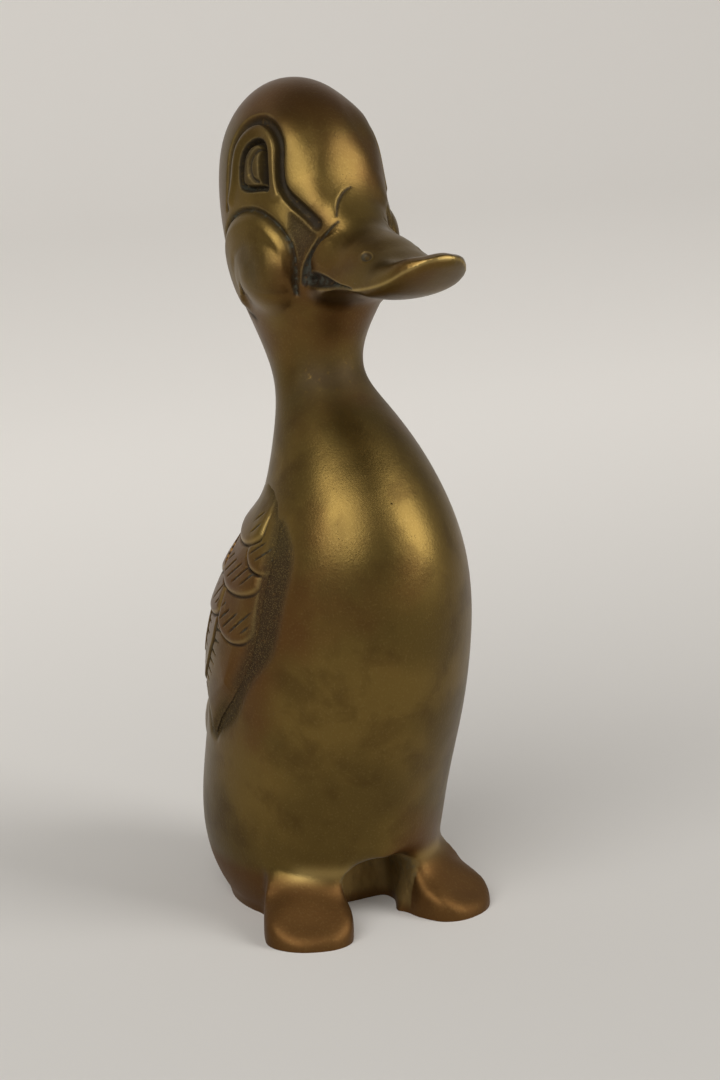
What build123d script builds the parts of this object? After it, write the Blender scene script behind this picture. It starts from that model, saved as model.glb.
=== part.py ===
from build123d import *
import math
import os

# Hollow brass duck standing upright on two webbed feet, as the castings it is brazed together from.
# Millimetres, +Z up. The duck faces -Y, its right side is -X, and the origin is on the floor
# under the middle of its bounding box.

# Outer form of body and head. Each level is an ellipse, given by its rise above the level below,
# its half width, and its reach forward and backward from the upright axis that the duck stands on.
sole_half_width = 17.8
sole_front = 17.0
sole_back = 20.5

ankle_rise = 6.0
ankle_half_width = 21.3
ankle_front = 20.8
ankle_back = 24.6

hip_rise = 18.0
hip_half_width = 23.9
hip_front = 24.7
hip_back = 26.9

belly_rise = 16.0
belly_half_width = 24.5
belly_front = 29.3
belly_back = 23.6

breast_rise = 15.0
breast_half_width = 24.7
breast_front = 32.0
breast_back = 21.6

chest_rise = 15.0
chest_half_width = 22.2
chest_front = 32.8
chest_back = 15.4

shoulder_rise = 13.0
shoulder_half_width = 17.6
shoulder_front = 29.3
shoulder_back = 8.4

collar_rise = 10.0
collar_half_width = 13.8
collar_front = 21.4
collar_back = 7.6

nape_rise = 7.0
nape_half_width = 10.5
nape_front = 13.4
nape_back = 9.8

neck_rise = 6.0
neck_half_width = 8.7
neck_front = 6.6
neck_back = 13.6

throat_rise = 7.0
throat_half_width = 10.1
throat_front = 6.6
throat_back = 18.4

jowl_rise = 9.0
jowl_half_width = 13.5
jowl_front = 11.2
jowl_back = 23.2

cheek_rise = 10.0
cheek_half_width = 15.5
cheek_front = 12.4
cheek_back = 25.8

brow_rise = 9.0
brow_half_width = 15.0
brow_front = 8.8
brow_back = 27.9

# Crown: a half egg over the brow, leaning back
crown_rise = 20.2
crown_lean = 2.2
crown_angles = (25, 45, 62, 75, 86)

# Castings
wall = 2.6
braze_gap = 0.1
spigot_depth = 4.0
spigot_plate = 2.4
spigot_clearance = 0.25
spigot_wall = 1.8

# Puffed cheeks: balls sunk in the sides of the head, placed from the jowl level and the axis
puff_radius = 10.0
puff_proud = 1.0
puff_lift = 4.5
puff_back = 2.6

# Tail: from inside the rump to a blunt upturned tip, lifts above the hip level, run back from the tip
tail_reach = 36.0
tail_root_depth = 11.0
tail_root_half_width = 16.0
tail_root_half_height = 13.0
tail_root_lift = 4.0
tail_middle_run = 9.0
tail_middle_half_width = 13.4
tail_middle_half_height = 8.5
tail_middle_lift = 6.0
tail_tip_half_width = 7.0
tail_tip_half_height = 2.4
tail_tip_lift = 10.0

# Bill: stations forward of the cheek level's front, heights above the cheek level
bill_root_depth = 6.6
bill_root_half_width = 9.8
bill_root_top = 8.0
bill_root_edge = -8.0
bill_root_bottom = -12.0

bill_bridge_run = 1.8
bill_bridge_half_width = 10.0
bill_bridge_top = 3.2
bill_bridge_edge = -7.6
bill_bridge_bottom = -10.0

bill_waist_run = 9.8
bill_waist_half_width = 9.6
bill_waist_top = 1.6
bill_waist_edge = -6.8
bill_waist_bottom = -8.9

bill_spoon_run = 18.6
bill_spoon_half_width = 8.8
bill_spoon_top = 0.6
bill_spoon_edge = -5.0
bill_spoon_bottom = -7.7

# The spoon's round end, curling up
bill_end_length = 10.8
bill_end_curl = 3.8
bill_end_angles = (35, 60, 80)

# Wings: outline in side view, thickness over the flank
wing_thickness = 1.0
wing_top_above_shoulder = 4.0
wing_top_forward = 6.0
wing_front_above_chest = -2.0
wing_front_forward = 14.5
wing_tip_above_hip = 9.0
wing_tip_back = 4.0
wing_back_above_breast = 5.0
wing_back_back = 12.0

# Lapped feathers on the wing, in five rows from the top, zigzag, and two long quills below them.
# Each row is given by its tips above the hip, its first feather's middle back from the axis, and its
# half width. In the third row and among the quills a second one stands a pitch behind the first.
# A feather is proud of the wing at its tip and falls along its length, to dive under the row above.
feather_rise = 0.8
feather_fall = 0.65
feather_length = 6.5
feather_round = 3.8
feather_pitch = 12.5

first_row_tip = 50.9
first_row_middle = -3.5
first_row_half_width = 7.0

second_row_tip = 46.9
second_row_middle = -12.0
second_row_half_width = 5.2

third_row_tip = 41.9
third_row_middle = -5.5
third_row_half_width = 7.4

fourth_row_tip = 36.0
fourth_row_middle = 4.0
fourth_row_half_width = 6.0

fifth_row_tip = 32.9
fifth_row_middle = -7.2
fifth_row_half_width = 6.0

quill_tip = 18.5
quill_middle = 3.4
quill_half_width = 3.4
quill_length = 15.0
quill_pitch = 7.0

# Webbed feet: a round-ended slab, splayed out, sloping from its root down to a thin front edge
foot_width = 15.5
foot_length = 22.0
foot_toe_bulge = 6.0
foot_toe_reach = 6.4
foot_toe_spread = 19.4
foot_splay = 25.0
foot_root_height = 11.2
foot_root_run = 8.0
foot_instep_run = 13.5
foot_instep_height = 8.2
foot_edge_thickness = 3.0

# Niche cut into the base between the feet, under a flat arch
niche_half_width = 8.6
niche_height = 14.0
niche_arch_rise = 4.0
niche_depth = 12.6

# Places worked out from the sizes above
body_levels = [
    (0.0, sole_half_width, sole_front, sole_back),
    (ankle_rise, ankle_half_width, ankle_front, ankle_back),
    (hip_rise, hip_half_width, hip_front, hip_back),
    (belly_rise, belly_half_width, belly_front, belly_back),
    (breast_rise, breast_half_width, breast_front, breast_back),
    (chest_rise, chest_half_width, chest_front, chest_back),
    (shoulder_rise, shoulder_half_width, shoulder_front, shoulder_back),
    (collar_rise, collar_half_width, collar_front, collar_back),
    (nape_rise, nape_half_width, nape_front, nape_back),
    (neck_rise, neck_half_width, neck_front, neck_back),
]
head_levels = [
    (throat_rise, throat_half_width, throat_front, throat_back),
    (jowl_rise, jowl_half_width, jowl_front, jowl_back),
    (cheek_rise, cheek_half_width, cheek_front, cheek_back),
    (brow_rise, brow_half_width, brow_front, brow_back),
]
hip_height = ankle_rise + hip_rise
breast_height = hip_height + belly_rise + breast_rise
chest_height = breast_height + chest_rise
shoulder_height = chest_height + shoulder_rise
neck_height = shoulder_height + collar_rise + nape_rise + neck_rise
jowl_height = neck_height + throat_rise + jowl_rise
cheek_height = jowl_height + cheek_rise
brow_height = cheek_height + brow_rise

bill_reach = cheek_front + bill_spoon_run + bill_end_length * math.sin(math.radians(bill_end_angles[-1]))
toe_reach = ankle_front + foot_toe_reach
front_reach = max(bill_reach, chest_front, toe_reach)
back_reach = max(tail_reach, brow_back)
axis_y = (front_reach - back_reach) / 2
width_reach = 2 * max(level[1] for level in body_levels)


def ellipse_section(plane, centre_y, half_width, half_depth):
    """Ellipse on a plane, as two arcs that meet on the median plane."""
    with BuildSketch(plane) as section:
        with BuildLine():
            EllipticalCenterArc((0, centre_y), half_width, half_depth, -90, arc_size=180)
            EllipticalCenterArc((0, centre_y), half_width, half_depth, 90, arc_size=180)
        make_face()
    return section.sketch


def bill_section(run, half_width, top, edge, bottom):
    """Cross section of the bill at a run forward of the cheek: a high half ellipse over a low one."""
    middle = (0, cheek_height + edge)
    with BuildSketch(Plane.XZ.offset(cheek_front + run - axis_y)) as section:
        with BuildLine():
            EllipticalCenterArc(middle, half_width, top - edge, 0, arc_size=180)
            EllipticalCenterArc(middle, half_width, edge - bottom, 180, arc_size=180)
        make_face()
    return section.sketch


def figure(grow):
    """Body and head as one form, grown by a thickness, still standing on the floor."""
    sections = []
    height = 0.0
    for rise, half_width, front, back in body_levels + head_levels:
        height += rise
        centre_y = axis_y + (back - front) / 2
        half_depth = (back + front) / 2 + grow
        sections.append(ellipse_section(Plane.XY.offset(height), centre_y, half_width + grow, half_depth))
    for angle in crown_angles:
        up = math.sin(math.radians(angle))
        spread = math.cos(math.radians(angle))
        plane = Plane.XY.offset(brow_height + (crown_rise + grow) * up)
        centre_y = axis_y + (brow_back - brow_front) / 2 + crown_lean * up
        half_depth = ((brow_back + brow_front) / 2 + grow) * spread
        sections.append(ellipse_section(plane, centre_y, (brow_half_width + grow) * spread, half_depth))
    with BuildPart() as form:
        loft(sections)
    return form.part


def niche_block(grow):
    """The space under the arch between the feet, grown by a thickness."""
    back_y = axis_y - ankle_front + niche_depth + grow
    spring = niche_height - niche_arch_rise
    with BuildPart() as block:
        with BuildSketch(Plane.XZ.offset(-back_y)):
            with BuildLine():
                Polyline(
                    (-niche_half_width - grow, spring),
                    (-niche_half_width - grow, 0),
                    (niche_half_width + grow, 0),
                    (niche_half_width + grow, spring),
                )
                ThreePointArc(
                    (niche_half_width + grow, spring),
                    (0, niche_height + grow),
                    (-niche_half_width - grow, spring),
                )
            make_face()
        extrude(amount=niche_depth + foot_length)
    return block.part


outer_form = figure(0)
seat_form = figure(braze_gap)
inner_form = figure(-wall)
neck_plane = Plane.XY.offset(neck_height)

# Tail, cast with the body
tail_stations = (
    (hip_back - tail_root_depth, tail_root_half_width, tail_root_half_height, tail_root_lift),
    (tail_reach - tail_middle_run, tail_middle_half_width, tail_middle_half_height, tail_middle_lift),
    (tail_reach, tail_tip_half_width, tail_tip_half_height, tail_tip_lift),
)
with BuildPart() as tail:
    loft(
        [
            ellipse_section(Plane.XZ.offset(-axis_y - reach), hip_height + lift, half_width, half_height)
            for reach, half_width, half_height, lift in tail_stations
        ]
    )

# Body shell from the floor to the neck, open below, with the niche walled off from the hollow
with BuildPart() as hollow:
    add(inner_form)
    add(niche_block(wall), mode=Mode.SUBTRACT)

with BuildPart() as body_shell:
    add(outer_form)
    add(tail.part)
    add(hollow.part, mode=Mode.SUBTRACT)
    add(niche_block(0), mode=Mode.SUBTRACT)
    split(bisect_by=neck_plane, keep=Keep.BOTTOM)

# Head shell from the neck up, closed by a plate that carries a spigot, which leans as the neck does
neck_centre = axis_y + (neck_back - neck_front) / 2
nape_centre = axis_y + (nape_back - nape_front) / 2
spigot_centre = neck_centre + (nape_centre - neck_centre) * spigot_depth / neck_rise
spigot_plane = Plane.XY.offset(neck_height - spigot_depth)
spigot_half_width = neck_half_width - wall - spigot_clearance
spigot_half_depth = (neck_back + neck_front) / 2 - wall - spigot_clearance
bore_half_width = spigot_half_width - spigot_wall
bore_half_depth = spigot_half_depth - spigot_wall
spigot_top = ellipse_section(neck_plane, neck_centre, spigot_half_width, spigot_half_depth)
spigot_foot = ellipse_section(spigot_plane, spigot_centre, spigot_half_width, spigot_half_depth)
bore_top = ellipse_section(neck_plane, neck_centre, bore_half_width, bore_half_depth)
bore_foot = ellipse_section(spigot_plane, spigot_centre, bore_half_width, bore_half_depth)

with BuildPart() as head_hollow:
    add(inner_form)
    split(bisect_by=Plane.XY.offset(neck_height + spigot_plate), keep=Keep.TOP)

with BuildPart() as head_shell:
    add(outer_form)
    puff_x = cheek_half_width + puff_proud - puff_radius
    with Locations(
        (-puff_x, axis_y + puff_back, jowl_height + puff_lift),
        (puff_x, axis_y + puff_back, jowl_height + puff_lift),
    ):
        Sphere(puff_radius)
    split(bisect_by=neck_plane, keep=Keep.TOP)
    add(head_hollow.part, mode=Mode.SUBTRACT)
    loft([spigot_foot, spigot_top])
    loft([bore_foot, bore_top], mode=Mode.SUBTRACT)
    extrude(bore_top, amount=spigot_plate, mode=Mode.SUBTRACT)

# The two halves of each shell meet on the median plane
with BuildPart() as body_right_half:
    add(body_shell.part)
    split(bisect_by=Plane.YZ, keep=Keep.BOTTOM)

with BuildPart() as body_left_half:
    add(body_shell.part)
    split(bisect_by=Plane.YZ, keep=Keep.TOP)

with BuildPart() as head_right_half:
    add(head_shell.part)
    split(bisect_by=Plane.YZ, keep=Keep.BOTTOM)

with BuildPart() as head_left_half:
    add(head_shell.part)
    split(bisect_by=Plane.YZ, keep=Keep.TOP)

# Bill, seated on the face
bill_stations = [
    (-bill_root_depth, bill_root_half_width, bill_root_top, bill_root_edge, bill_root_bottom),
    (bill_bridge_run, bill_bridge_half_width, bill_bridge_top, bill_bridge_edge, bill_bridge_bottom),
    (bill_waist_run, bill_waist_half_width, bill_waist_top, bill_waist_edge, bill_waist_bottom),
    (bill_spoon_run, bill_spoon_half_width, bill_spoon_top, bill_spoon_edge, bill_spoon_bottom),
]
for angle in bill_end_angles:
    out = math.sin(math.radians(angle))
    spread = math.cos(math.radians(angle))
    edge = bill_spoon_edge + bill_end_curl * out
    bill_stations.append(
        (
            bill_spoon_run + bill_end_length * out,
            bill_spoon_half_width * spread,
            edge + (bill_spoon_top - bill_spoon_edge) * spread,
            edge,
            edge + (bill_spoon_bottom - bill_spoon_edge) * spread,
        )
    )

with BuildPart() as bill:
    loft([bill_section(*station) for station in bill_stations])
    add(seat_form, mode=Mode.SUBTRACT)

# Wings, laid on the flanks
wing_top = (axis_y - wing_top_forward, shoulder_height + wing_top_above_shoulder)
wing_front = (axis_y - wing_front_forward, chest_height + wing_front_above_chest)
wing_tip = (axis_y + wing_tip_back, hip_height + wing_tip_above_hip)
wing_back = (axis_y + wing_back_back, breast_height + wing_back_above_breast)

with BuildPart() as wing_block:
    with BuildSketch(Plane.YZ):
        with BuildLine():
            ThreePointArc(wing_top, wing_front, wing_tip)
            ThreePointArc(wing_tip, wing_back, wing_top)
        make_face()
    extrude(amount=-width_reach)
    add(seat_form, mode=Mode.SUBTRACT)

wing_form = figure(wing_thickness)
feathers = [
    (first_row_tip, first_row_middle, first_row_half_width, feather_length),
    (second_row_tip, second_row_middle, second_row_half_width, feather_length),
    (third_row_tip, third_row_middle, third_row_half_width, feather_length),
    (third_row_tip, third_row_middle + feather_pitch, third_row_half_width, feather_length),
    (fourth_row_tip, fourth_row_middle, fourth_row_half_width, feather_length),
    (fifth_row_tip, fifth_row_middle, fifth_row_half_width, feather_length),
    (quill_tip, quill_middle, quill_half_width, quill_length),
    (quill_tip, quill_middle + quill_pitch, quill_half_width, quill_length),
]


def feather(tip, middle, half_width, length):
    """A feather's plate on the right wing: the wing's own form, lifted at the tip and leaning in."""
    tip_height = hip_height + tip
    centre = axis_y + middle
    shoulder = tip_height + feather_round
    top = tip_height + length
    angle = math.degrees(math.atan2(feather_fall, length))
    hinge = Location((-breast_half_width, 0, tip_height))
    lean = Location((-feather_rise, 0, 0)) * hinge * Location((0, 0, 0), (0, angle, 0)) * hinge.inverse()
    with BuildPart() as plate:
        with BuildSketch(Plane.YZ):
            with BuildLine():
                EllipticalCenterArc((centre, shoulder), half_width, feather_round, 180, arc_size=180)
                Polyline(
                    (centre + half_width, shoulder),
                    (centre + half_width, top),
                    (centre - half_width, top),
                    (centre - half_width, shoulder),
                )
            make_face()
        extrude(amount=-width_reach)
        add(wing_block.part, mode=Mode.INTERSECT)
        add(wing_form.moved(lean), mode=Mode.INTERSECT)
    return plate.part


with BuildPart() as right_wing:
    add(wing_block.part)
    add(wing_form, mode=Mode.INTERSECT)
    for sizes in feathers:
        add(feather(*sizes))

with BuildPart() as left_wing:
    mirror(right_wing.part, about=Plane.YZ)

# Feet, brazed against the front of the base
splay = math.radians(foot_splay)
toe_direction = Vector(-math.sin(splay), -math.cos(splay), 0)
across_direction = Vector(-math.cos(splay), math.sin(splay), 0)
toe_tip = Vector(-foot_toe_spread, axis_y - toe_reach, 0)
heel = toe_tip - toe_direction * foot_length
sole_plane = Plane(origin=heel, x_dir=across_direction, z_dir=(0, 0, 1))
side_plane = Plane(origin=heel, x_dir=toe_direction, z_dir=across_direction)
toe_start = foot_length - foot_toe_bulge

with BuildPart() as right_foot:
    with BuildSketch(sole_plane):
        with Locations((0, toe_start / 2)):
            Rectangle(foot_width, toe_start)
        with Locations((0, toe_start)):
            Ellipse(foot_width / 2, foot_toe_bulge)
    extrude(amount=foot_root_height)
    with BuildSketch(side_plane):
        with BuildLine():
            Polyline((foot_length, foot_edge_thickness), (foot_length, 0), (0, 0), (0, foot_root_height))
            Line((0, foot_root_height), (foot_root_run, foot_root_height))
            Spline(
                (foot_root_run, foot_root_height),
                (foot_instep_run, foot_instep_height),
                (foot_length, foot_edge_thickness),
            )
        make_face()
    extrude(amount=foot_width, both=True, mode=Mode.INTERSECT)
    add(seat_form, mode=Mode.SUBTRACT)

with BuildPart() as left_foot:
    mirror(right_foot.part, about=Plane.YZ)

pieces = {
    "body_right_half": body_right_half,
    "body_left_half": body_left_half,
    "head_right_half": head_right_half,
    "head_left_half": head_left_half,
    "bill": bill,
    "right_wing": right_wing,
    "left_wing": left_wing,
    "right_foot": right_foot,
    "left_foot": left_foot,
}
os.makedirs("parts", exist_ok=True)
for name, piece in pieces.items():
    piece.part.label = name
    export_step(piece.part, f"parts/{name}.step")
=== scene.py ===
import math

import bmesh
import bpy
import numpy as np
from mathutils import Matrix, Vector
from mathutils.bvhtree import BVHTree
from mathutils.geometry import barycentric_transform


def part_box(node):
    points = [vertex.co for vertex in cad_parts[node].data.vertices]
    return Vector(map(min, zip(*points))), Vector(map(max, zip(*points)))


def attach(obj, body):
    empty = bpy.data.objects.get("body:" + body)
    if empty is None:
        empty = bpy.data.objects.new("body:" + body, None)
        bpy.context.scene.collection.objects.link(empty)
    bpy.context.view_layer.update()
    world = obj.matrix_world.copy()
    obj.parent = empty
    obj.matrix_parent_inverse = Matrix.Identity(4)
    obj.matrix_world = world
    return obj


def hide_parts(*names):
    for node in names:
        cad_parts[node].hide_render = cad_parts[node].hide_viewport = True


# Looks of the brass duck. The solids of the frame are joined into one skin, smoothed where the castings
# were brazed and filed, chased with the eye, cheeks, bill and feathers, and cut into the castings again.

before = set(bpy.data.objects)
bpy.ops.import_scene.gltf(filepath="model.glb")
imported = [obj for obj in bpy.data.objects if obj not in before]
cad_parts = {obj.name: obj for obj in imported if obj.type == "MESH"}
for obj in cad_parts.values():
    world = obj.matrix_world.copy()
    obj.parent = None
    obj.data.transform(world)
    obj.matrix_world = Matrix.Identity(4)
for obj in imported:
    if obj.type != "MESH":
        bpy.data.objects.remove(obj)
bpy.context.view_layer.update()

# Lengths are in millimetres here, and become metres where a mesh is made. Points of the chasing are on the
# duck's right side, with y measured backward from the upright axis that it stands on.
MM = 0.001
AXIS_Y = 2.82
AXIS = np.array((0, AXIS_Y, 0))
NECK_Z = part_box("body_right_half")[1].z / MM

# Camera, found from the photo
CAMERA_AT = (-253.6, -431.6, 198.0)
CAMERA_TURN = -31.0
CAMERA_DIP = 14.0
CAMERA_LENS = 88.5

# Skin: voxels, sole, niche between the feet, the plate that closes the base, and smoothing
SHELLS = ("body_right_half", "body_left_half", "head_right_half", "head_left_half")
COARSE = 0.6
SOLE_CENTRE_Y = 4.6
SOLE_HALF_WIDTH = 16.6
SOLE_HALF_DEPTH = 17.5
NICHE_HALF_WIDTH = 8.6
NICHE_BACK_Y = -5.4
NICHE_HEIGHT = 14.0
PLATE_MARGIN = 1.3
PLATE_THICKNESS = 2.0
SMOOTHING = 0.5
SWELLING = 0.52

# Feet: turn and place, how far they spread and fall, and the runs over which they do so
FOOT_SPLAY = math.radians(25)
FOOT_ASIDE = -6.1
FOOT_SPREAD = 0.11
FOOT_FALL = 0.38
FOOT_RUN = (20, 23)
FOOT_HEIGHT = (11, 13)
TOE_FALL = (24, 33)
RIM_FALL = (2.5, 9.0)
RIM_SHARE = 0.8
SOLE_LAYER = 1.6
SOLE_STRETCH = 1.5

# Shoulders between forehead and bill: middle, fullness, reach, and the way in which they stand out
SHOULDER_SIDE = 5.0
SHOULDER_AHEAD = 12.0
SHOULDER_HEIGHT = 138.2
SHOULDER_FULLNESS = 2.0
SHOULDER_REACH = (1.5, 8.5)
SHOULDER_LEAN = 0.5
SHOULDER_LEAN_END = 9
SHOULDER_ABOVE = 0.55
SHOULDER_BELOW = 1.45
SHOULDER_WAY = (0.86, -0.51)

# Bill: how far its spoon curls, lifts and is hollowed, and the runs over which it does so
BILL_CURL = 1.7
BILL_LIFT = 0.9
BILL_HOLLOW = 1.5
BILL_RUN = (24, 30)
BILL_HEIGHT = (118, 122)
CURL_RUN = (33, 43)
LIFT_START = (13, 20)
LIFT_END = (21.5, 29)
DISH_START = (26, 33)
DISH_END = (38, 43.5)
DISH_SIDE = (1.5, 7.5)
DISH_FACING = (0.2, 0.7)

# Corners of the fillings with which the forehead runs down on to the bill and each heel into the niche's
# wall, on one hand
SADDLE = [
    (0.2, -8.2, 143.6), (3.0, -7.6, 143.0), (4.5, -7.0, 141.4),
    (0.2, -19.0, 133.7), (3.2, -18.4, 133.2), (5.4, -15.6, 132.0),
]
HEEL = [
    (9.2, -10.5, 0.0), (5.2, -17.4, 0.0), (10.0, -18.0, 0.0),
    (9.2, -11.5, 9.0), (6.2, -17.0, 9.0), (10.0, -17.5, 9.0),
]


def values_of(items, name, width=1, kind=np.float32):
    """One property of all vertices, edges, corners or faces, in rows where it has a width."""
    values = np.empty(len(items) * width, kind)
    items.foreach_get(name, values)
    return values.reshape(-1, width) if width > 1 else values


def mesh_arrays(mesh):
    """Vertices in millimetres, and edges."""
    points = values_of(mesh.vertices, "co", 3).astype(float) / MM
    return points, values_of(mesh.edges, "vertices", 2, np.int32)


def set_points(mesh, points):
    mesh.vertices.foreach_set("co", (points * MM).astype(np.float32).ravel())
    mesh.update()


def vertex_normals(mesh):
    return values_of(mesh.vertex_normals, "vector", 3).astype(float)


def new_object(name, data):
    thing = bpy.data.objects.new(name, data)
    bpy.context.scene.collection.objects.link(thing)
    return thing


def applied(thing):
    """A thing's mesh with its modifiers applied. The thing is removed."""
    bpy.context.view_layer.update()
    graph = bpy.context.evaluated_depsgraph_get()
    shown = thing.evaluated_get(graph)
    mesh = bpy.data.meshes.new_from_object(shown, preserve_all_data_layers=True, depsgraph=graph)
    old = thing.data
    bpy.data.objects.remove(thing)
    bpy.data.meshes.remove(old)
    return mesh


def neighbour_mean(points, edges, count):
    total = np.zeros_like(points)
    for axis in range(points.shape[1]):
        total[:, axis] = np.bincount(edges[:, 0], points[edges[:, 1], axis], len(points))
        total[:, axis] += np.bincount(edges[:, 1], points[edges[:, 0], axis], len(points))
    return total / count[:, None]


def relax(points, edges, rounds, weight=None, keep_size=True):
    """Smooths points over their neighbours. With keep_size each round is followed by a slight swelling."""
    moved = points.copy()
    held = np.arange(len(points))
    share = np.ones((len(points), 1))
    if weight is not None:
        edges = edges[(weight[edges] > 0.001).any(1)]
        held, flat = np.unique(edges, return_inverse=True)
        edges = flat.reshape(-1, 2)
        share = weight[held][:, None]
    count = np.maximum(np.bincount(edges.ravel(), minlength=len(held)), 1)
    local = points[held]
    for _ in range(rounds):
        local = local + SMOOTHING * share * (neighbour_mean(local, edges, count) - local)
        if keep_size:
            local = local - SWELLING * share * (neighbour_mean(local, edges, count) - local)
    moved[held] = local
    return moved


def step(low, high, value):
    """Rises smoothly from nothing at low to one at high."""
    t = np.clip((value - low) / (high - low), 0, 1)
    return t * t * (3 - 2 * t)


def bell(value, width, power=2):
    """One where a value is nothing, and less the further it lies from that."""
    return np.exp(-((value / width) ** power))


# One closed skin round all the castings. A plate closes the open base for the remesh alone.
joined = bmesh.new()


def join(piece):
    """Adds a piece to the joined ones, and frees it."""
    mesh = bpy.data.meshes.new("piece")
    piece.to_mesh(mesh)
    piece.free()
    joined.from_mesh(mesh)
    bpy.data.meshes.remove(mesh)


for name in SHELLS:
    shell = bmesh.new()
    shell.from_mesh(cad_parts[name].data)
    seam = [f for f in shell.faces if all(abs(v.co.x) < 1e-6 for v in f.verts)]
    seam += [f for f in shell.faces if all(abs(v.co.z / MM - NECK_Z) < 1e-3 for v in f.verts)]
    bmesh.ops.delete(shell, geom=list(set(seam)), context="FACES_ONLY")
    join(shell)
for name in ("bill", "right_foot", "left_foot"):
    joined.from_mesh(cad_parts[name].data)
for corners, hands in ((SADDLE, (-1, 1)), (HEEL, (-1,)), (HEEL, (1,))):
    filling = bmesh.new()
    for x, y, z in corners:
        for hand in hands:
            filling.verts.new((hand * x * MM, (y + AXIS_Y) * MM, z * MM))
    bmesh.ops.convex_hull(filling, input=filling.verts)
    join(filling)
rim = []
for turn in range(72):
    angle = math.radians(turn * 5 - 90)
    x = SOLE_HALF_WIDTH * math.cos(angle)
    y = SOLE_CENTRE_Y + SOLE_HALF_DEPTH * math.sin(angle)
    if not (abs(x) < NICHE_HALF_WIDTH + PLATE_MARGIN and y < NICHE_BACK_Y):
        rim.append((x, y))
widest = max(range(len(rim)), key=lambda i: math.dist(rim[i], rim[i - 1]))
rim = rim[widest:] + rim[:widest]
rim += [(hand * (NICHE_HALF_WIDTH + PLATE_MARGIN), NICHE_BACK_Y + PLATE_MARGIN) for hand in (-1, 1)]
low = [joined.verts.new((x * MM, y * MM, 0)) for x, y in rim]
high = [joined.verts.new((x * MM, y * MM, PLATE_THICKNESS * MM)) for x, y in rim]
joined.faces.new(low[::-1])
joined.faces.new(high)
for i in range(len(rim)):
    joined.faces.new((low[i - 1], low[i], high[i], high[i - 1]))
whole = bpy.data.meshes.new("whole")
joined.to_mesh(whole)
joined.free()
skin = new_object("skin", whole)
remesh = skin.modifiers.new("remesh", "REMESH")
remesh.mode = "VOXEL"
remesh.voxel_size = COARSE * MM
whole = applied(skin)


# Lines of the chasing, from the back or the top, as (y, z) seen from the side or as (x, y, z)
CHEEK_LINE = [
    (8.1, 116.2), (11.2, 117.3), (13.0, 119.5), (14.2, 122.5), (14.8, 126.0), (14.3, 129.4), (12.6, 132.4),
    (9.8, 135.0), (7.0, 136.7), (4.3, 137.5), (1.5, 137.5), (-1.0, 136.7), (-3.0, 135.5), (-4.7, 134.0),
    (-6.2, 131.8), (-6.8, 129.3), (-6.8, 126.7), (-6.4, 124.4), (-6.0, 122.4),
]
EYE_LINE = [
    (11.3, 136.9), (11.4, 140.3), (11.6, 143.6), (11.6, 146.8), (11.1, 149.5), (9.9, 152.0), (8.1, 153.5),
    (5.6, 154.0), (2.9, 153.1), (0.9, 151.5), (-0.5, 149.3), (-1.4, 145.8), (-2.2, 143.0), (-3.3, 141.2),
    (-5.3, 139.4), (-7.6, 137.6), (-9.4, 135.9),
]
RING_LINE = [
    (10.0, 138.6), (9.3, 142.5), (9.4, 145.7), (9.3, 148.3), (8.2, 150.5), (6.4, 152.0), (4.5, 152.3),
    (2.4, 151.1), (0.8, 149.2), (-0.3, 145.8), (-1.1, 142.6), (-1.9, 140.6),
]
SOCKET = [
    (7.0, 141.4), (7.6, 143.9), (7.9, 147.0), (7.0, 149.4), (5.0, 150.8), (3.1, 150.6), (1.7, 149.1),
    (0.7, 145.7), (0.1, 142.9), (-0.3, 141.3), (0.9, 141.4), (2.9, 141.0), (5.0, 140.8),
]
PUPIL_LINE = [(2.3, 149.2), (3.9, 148.4), (4.7, 146.7), (4.6, 145.0), (3.6, 143.4), (2.2, 142.8)]
SLOT_LINE = [(2.6, 148.9), (2.0, 146.6), (1.5, 144.4), (1.2, 142.9)]
BROW_HAND = -1
LORE = [
    (-5.0, 135.3), (-4.3, 138.2), (-6.5, 137.3), (-8.9, 135.2), (-10.1, 133.8), (-9.1, 131.0), (-7.9, 127.7),
    (-6.9, 123.8), (-6.7, 125.7), (-6.9, 129.6), (-6.3, 132.2), (-4.8, 134.2),
]
ROOT_GAP = [
    (-10.4, 133.9), (-9.6, 132.3), (-8.9, 130.4), (-8.0, 127.8), (-7.1, 124.0), (-9.0, 124.2), (-9.6, 127.0),
    (-9.5, 129.1), (-9.8, 131.1), (-10.2, 132.8),
]
ROOT_LINE = [
    (-3.4, -11.2, 135.2), (-5.4, -10.6, 134.0), (-7.0, -10.1, 132.6), (-7.9, -9.8, 131.1),
    (-8.4, -9.5, 129.1), (-8.9, -9.6, 127.2), (-9.3, -9.2, 125.4),
]
MOUTH = [
    (-8.5, 126.2), (-11.0, 127.3), (-14.0, 127.6), (-17.5, 127.1), (-21.0, 126.3), (-25.0, 126.0),
    (-25.0, 125.7), (-21.0, 125.2), (-16.0, 124.8), (-12.0, 124.4), (-8.5, 124.0),
]
BILL_RIM = [
    (-9.6, -13.0, 124.4), (-9.9, -17.1, 124.6), (-9.7, -21.3, 125.1), (-9.3, -26.5, 125.8),
    (-8.7, -32.0, 127.2), (-8.2, -35.5, 128.5), (-7.2, -38.4, 129.9), (-5.9, -40.4, 131.2),
    (-4.2, -42.0, 132.3), (-2.0, -43.0, 132.9), (0.0, -43.3, 133.0),
]
CREASE = [
    (-0.3, -8.6, 141.7), (-1.6, -8.6, 140.7), (-2.9, -9.1, 139.0), (-3.4, -9.7, 137.5),
    (-3.5, -10.4, 136.0),
]
NOSTRIL = (-5.9, -24.6, 131.2)
BILL_SIDE = (-8.4, -19.0, 130.0)

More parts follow.
